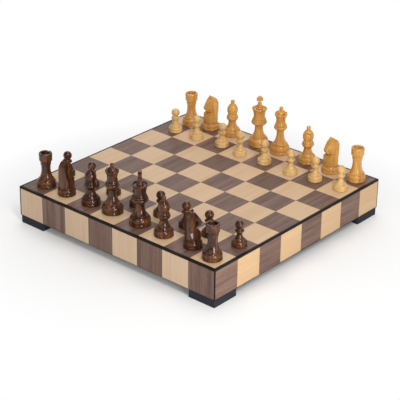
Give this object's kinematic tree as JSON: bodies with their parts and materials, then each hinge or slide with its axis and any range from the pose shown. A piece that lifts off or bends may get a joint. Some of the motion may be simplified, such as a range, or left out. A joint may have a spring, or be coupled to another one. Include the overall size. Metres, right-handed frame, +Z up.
{
  "type": "chess box with drawers",
  "caption": "Square chequered chess box on corner feet, with two flush drawers on opposite sides and a full set of turned and carved men standing on the board.",
  "frame": {"origin": "middle of the box, at the surface its feet stand on", "axes": "+Z up, +X along each player's edge (dark men's left to right), +Y from the dark men's side to the light men's side"},
  "size_m": [0.3556, 0.3556, 0.1325],
  "materials": {
    "maple_veneer": "satin lacquered veneer",
    "walnut_veneer": "satin lacquered veneer",
    "core_board": "raw board",
    "plain_wood": "sanded, oiled",
    "black_edging": "black stained, lacquered",
    "black_board": "black stained",
    "black_feet": "matt black",
    "screw_brass": "bright",
    "felt": "napped felt",
    "dark_men_wood": "high gloss, stained dark",
    "light_men_wood": "gloss lacquer"
  },
  "bodies": {
    "case": {"top_core": "core_board", "top_maple_squares": "maple_veneer", "top_walnut_squares": "walnut_veneer", "top_edge_band": "black_edging", "corner_strips": "black_edging", "left_side": "core_board", "right_side": "core_board", "side_maple_panels": "maple_veneer", "side_walnut_panels": "walnut_veneer", "bottom_panel": "black_board", "centre_divider": "plain_wood", "drawer_runners": "plain_wood", "corner_feet": "black_feet", "foot_screws": "screw_brass"},
    "dark_drawer": {"dark_drawer_front": "core_board", "dark_drawer_maple_panels": "maple_veneer", "dark_drawer_walnut_panels": "walnut_veneer", "dark_drawer_sides": "plain_wood", "dark_drawer_back": "plain_wood", "dark_drawer_bottom": "plain_wood", "dark_drawer_lining": "felt"},
    "light_drawer": {"light_drawer_front": "core_board", "light_drawer_maple_panels": "maple_veneer", "light_drawer_walnut_panels": "walnut_veneer", "light_drawer_sides": "plain_wood", "light_drawer_back": "plain_wood", "light_drawer_bottom": "plain_wood", "light_drawer_lining": "felt"},
    "dark_rook_left": {"dark_rook_left": "dark_men_wood"},
    "dark_knight_left": {"dark_knight_left": "dark_men_wood"},
    "dark_bishop_left": {"dark_bishop_left": "dark_men_wood"},
    "dark_queen": {"dark_queen": "dark_men_wood"},
    "dark_king": {"dark_king": "dark_men_wood"},
    "dark_bishop_right": {"dark_bishop_right": "dark_men_wood"},
    "dark_knight_right": {"dark_knight_right": "dark_men_wood"},
    "dark_rook_right": {"dark_rook_right": "dark_men_wood"},
    "dark_pawn_1": {"dark_pawn_1": "dark_men_wood"},
    "dark_pawn_2": {"dark_pawn_2": "dark_men_wood"},
    "dark_pawn_3": {"dark_pawn_3": "dark_men_wood"},
    "dark_pawn_4": {"dark_pawn_4": "dark_men_wood"},
    "dark_pawn_5": {"dark_pawn_5": "dark_men_wood"},
    "dark_pawn_6": {"dark_pawn_6": "dark_men_wood"},
    "dark_pawn_7": {"dark_pawn_7": "dark_men_wood"},
    "dark_pawn_8": {"dark_pawn_8": "dark_men_wood"},
    "light_rook_left": {"light_rook_left": "light_men_wood"},
    "light_knight_left": {"light_knight_left": "light_men_wood"},
    "light_bishop_left": {"light_bishop_left": "light_men_wood"},
    "light_king": {"light_king": "light_men_wood"},
    "light_queen": {"light_queen": "light_men_wood"},
    "light_bishop_right": {"light_bishop_right": "light_men_wood"},
    "light_knight_right": {"light_knight_right": "light_men_wood"},
    "light_rook_right": {"light_rook_right": "light_men_wood"},
    "light_pawn_1": {"light_pawn_1": "light_men_wood"},
    "light_pawn_2": {"light_pawn_2": "light_men_wood"},
    "light_pawn_3": {"light_pawn_3": "light_men_wood"},
    "light_pawn_4": {"light_pawn_4": "light_men_wood"},
    "light_pawn_5": {"light_pawn_5": "light_men_wood"},
    "light_pawn_6": {"light_pawn_6": "light_men_wood"},
    "light_pawn_7": {"light_pawn_7": "light_men_wood"},
    "light_pawn_8": {"light_pawn_8": "light_men_wood"}
  },
  "joints": [
    {"name": "drawer_dark_slide", "type": "slide", "parent": "case", "child": "dark_drawer", "axis": [0, -1, 0], "range_m": [0, 0.13]},
    {"name": "drawer_light_slide", "type": "slide", "parent": "case", "child": "light_drawer", "axis": [0, 1, 0], "range_m": [0, 0.13]},
    {"name": "lift_dark_rook_left", "type": "slide", "parent": "case", "child": "dark_rook_left", "axis": [0, 0, 1], "range_m": [0, 0.09]},
    {"name": "lift_dark_knight_left", "type": "slide", "parent": "case", "child": "dark_knight_left", "axis": [0, 0, 1], "range_m": [0, 0.09]},
    {"name": "lift_dark_bishop_left", "type": "slide", "parent": "case", "child": "dark_bishop_left", "axis": [0, 0, 1], "range_m": [0, 0.09]},
    {"name": "lift_dark_queen", "type": "slide", "parent": "case", "child": "dark_queen", "axis": [0, 0, 1], "range_m": [0, 0.09]},
    {"name": "lift_dark_king", "type": "slide", "parent": "case", "child": "dark_king", "axis": [0, 0, 1], "range_m": [0, 0.09]},
    {"name": "lift_dark_bishop_right", "type": "slide", "parent": "case", "child": "dark_bishop_right", "axis": [0, 0, 1], "range_m": [0, 0.09]},
    {"name": "lift_dark_knight_right", "type": "slide", "parent": "case", "child": "dark_knight_right", "axis": [0, 0, 1], "range_m": [0, 0.09]},
    {"name": "lift_dark_rook_right", "type": "slide", "parent": "case", "child": "dark_rook_right", "axis": [0, 0, 1], "range_m": [0, 0.09]},
    {"name": "lift_dark_pawn_1", "type": "slide", "parent": "case", "child": "dark_pawn_1", "axis": [0, 0, 1], "range_m": [0, 0.09]},
    {"name": "lift_dark_pawn_2", "type": "slide", "parent": "case", "child": "dark_pawn_2", "axis": [0, 0, 1], "range_m": [0, 0.09]},
    {"name": "lift_dark_pawn_3", "type": "slide", "parent": "case", "child": "dark_pawn_3", "axis": [0, 0, 1], "range_m": [0, 0.09]},
    {"name": "lift_dark_pawn_4", "type": "slide", "parent": "case", "child": "dark_pawn_4", "axis": [0, 0, 1], "range_m": [0, 0.09]},
    {"name": "lift_dark_pawn_5", "type": "slide", "parent": "case", "child": "dark_pawn_5", "axis": [0, 0, 1], "range_m": [0, 0.09]},
    {"name": "lift_dark_pawn_6", "type": "slide", "parent": "case", "child": "dark_pawn_6", "axis": [0, 0, 1], "range_m": [0, 0.09]},
    {"name": "lift_dark_pawn_7", "type": "slide", "parent": "case", "child": "dark_pawn_7", "axis": [0, 0, 1], "range_m": [0, 0.09]},
    {"name": "lift_dark_pawn_8", "type": "slide", "parent": "case", "child": "dark_pawn_8", "axis": [0, 0, 1], "range_m": [0, 0.09]},
    {"name": "lift_light_rook_left", "type": "slide", "parent": "case", "child": "light_rook_left", "axis": [0, 0, 1], "range_m": [0, 0.09]},
    {"name": "lift_light_knight_left", "type": "slide", "parent": "case", "child": "light_knight_left", "axis": [0, 0, 1], "range_m": [0, 0.09]},
    {"name": "lift_light_bishop_left", "type": "slide", "parent": "case", "child": "light_bishop_left", "axis": [0, 0, 1], "range_m": [0, 0.09]},
    {"name": "lift_light_king", "type": "slide", "parent": "case", "child": "light_king", "axis": [0, 0, 1], "range_m": [0, 0.09]},
    {"name": "lift_light_queen", "type": "slide", "parent": "case", "child": "light_queen", "axis": [0, 0, 1], "range_m": [0, 0.09]},
    {"name": "lift_light_bishop_right", "type": "slide", "parent": "case", "child": "light_bishop_right", "axis": [0, 0, 1], "range_m": [0, 0.09]},
    {"name": "lift_light_knight_right", "type": "slide", "parent": "case", "child": "light_knight_right", "axis": [0, 0, 1], "range_m": [0, 0.09]},
    {"name": "lift_light_rook_right", "type": "slide", "parent": "case", "child": "light_rook_right", "axis": [0, 0, 1], "range_m": [0, 0.09]},
    {"name": "lift_light_pawn_1", "type": "slide", "parent": "case", "child": "light_pawn_1", "axis": [0, 0, 1], "range_m": [0, 0.09]},
    {"name": "lift_light_pawn_2", "type": "slide", "parent": "case", "child": "light_pawn_2", "axis": [0, 0, 1], "range_m": [0, 0.09]},
    {"name": "lift_light_pawn_3", "type": "slide", "parent": "case", "child": "light_pawn_3", "axis": [0, 0, 1], "range_m": [0, 0.09]},
    {"name": "lift_light_pawn_4", "type": "slide", "parent": "case", "child": "light_pawn_4", "axis": [0, 0, 1], "range_m": [0, 0.09]},
    {"name": "lift_light_pawn_5", "type": "slide", "parent": "case", "child": "light_pawn_5", "axis": [0, 0, 1], "range_m": [0, 0.09]},
    {"name": "lift_light_pawn_6", "type": "slide", "parent": "case", "child": "light_pawn_6", "axis": [0, 0, 1], "range_m": [0, 0.09]},
    {"name": "lift_light_pawn_7", "type": "slide", "parent": "case", "child": "light_pawn_7", "axis": [0, 0, 1], "range_m": [0, 0.09]},
    {"name": "lift_light_pawn_8", "type": "slide", "parent": "case", "child": "light_pawn_8", "axis": [0, 0, 1], "range_m": [0, 0.09]}
  ]
}
